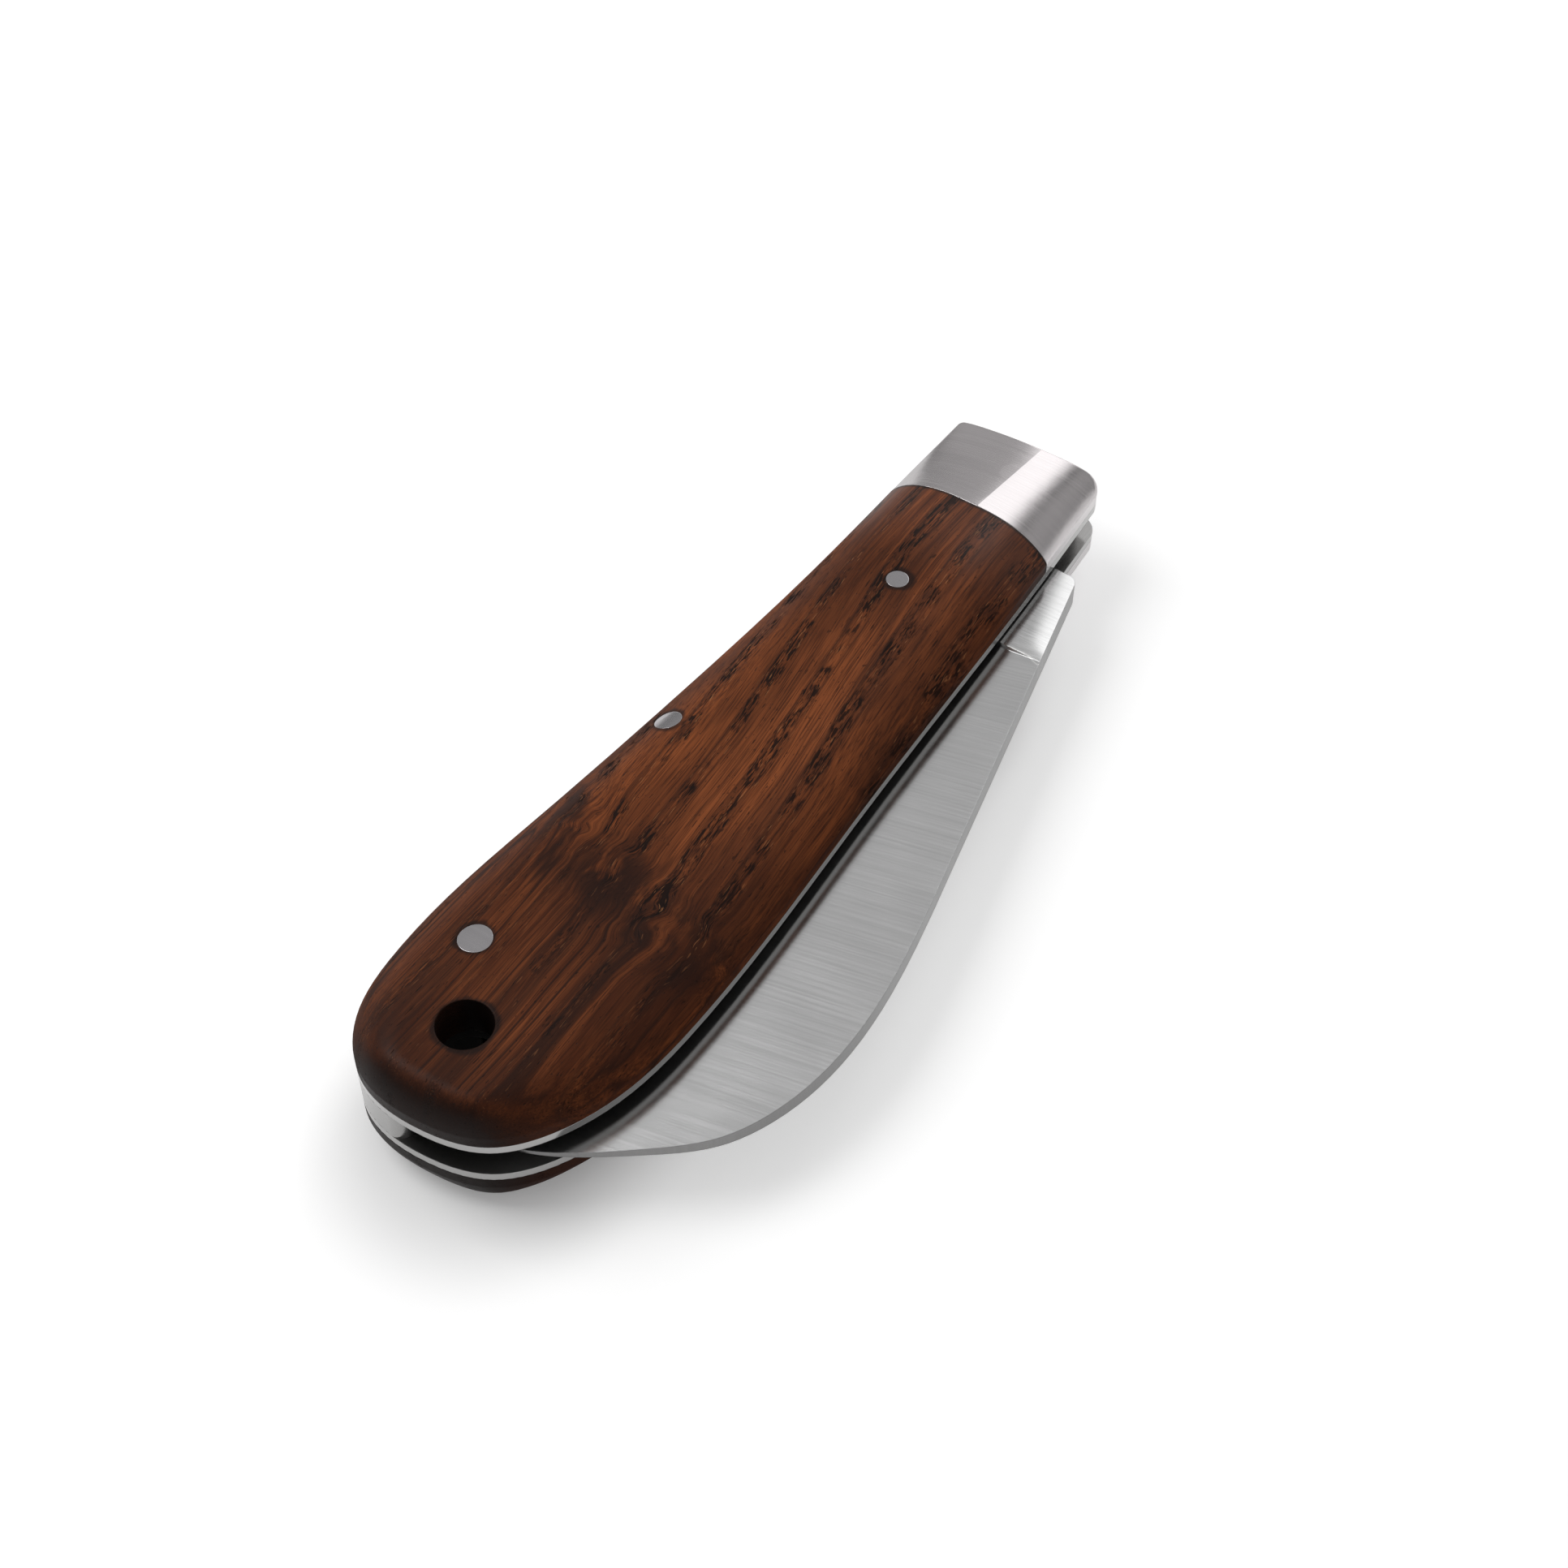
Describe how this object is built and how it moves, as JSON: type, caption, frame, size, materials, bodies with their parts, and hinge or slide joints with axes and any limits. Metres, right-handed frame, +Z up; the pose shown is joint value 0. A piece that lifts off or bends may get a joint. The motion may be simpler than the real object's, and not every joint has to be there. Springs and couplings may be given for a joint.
{
  "type": "folding pocket knife",
  "caption": "Slip-joint pocket knife with a sheepfoot blade that folds into a wooden-scaled handle with steel bolsters, liners and a lanyard hole.",
  "frame": {"origin": "on the flat of the lower scale that the closed knife rests on, at mid length of the handle and on its axis", "axes": "+X along the handle from the bolster end to the butt, +Y across the handle towards the side where the folded blade stands out, +Z up through the thickness"},
  "size_m": [0.1101, 0.0414, 0.0159],
  "materials": {
    "blade_steel": "satin, ground across the width",
    "spring_steel": "ground flush with the back",
    "liner_steel": "polished edges",
    "bolster_steel": "brushed across the length",
    "scale_wood": "oiled, semi-matte",
    "pin_steel": "ground flush, satin",
    "washer_bronze": "plain rolled"
  },
  "bodies": {
    "handle": {"backspring": "spring_steel", "liner_top": "liner_steel", "liner_bottom": "liner_steel", "bolster_top": "bolster_steel", "bolster_bottom": "bolster_steel", "scale_top": "scale_wood", "scale_bottom": "scale_wood", "pivot_pin": "bolster_steel", "centre_pin": "pin_steel", "butt_pin": "pin_steel", "front_rivet_top": "pin_steel", "front_rivet_bottom": "pin_steel", "washer_top": "washer_bronze", "washer_bottom": "washer_bronze"},
    "blade": {"blade": "blade_steel"}
  },
  "joints": [
    {"name": "blade_pivot", "type": "hinge", "parent": "handle", "child": "blade", "pos_m": [-0.0487, 0.0014, 0.00792], "axis": [0, 0, 1], "range_deg": [0, 180], "deforming": ["backspring"]}
  ]
}
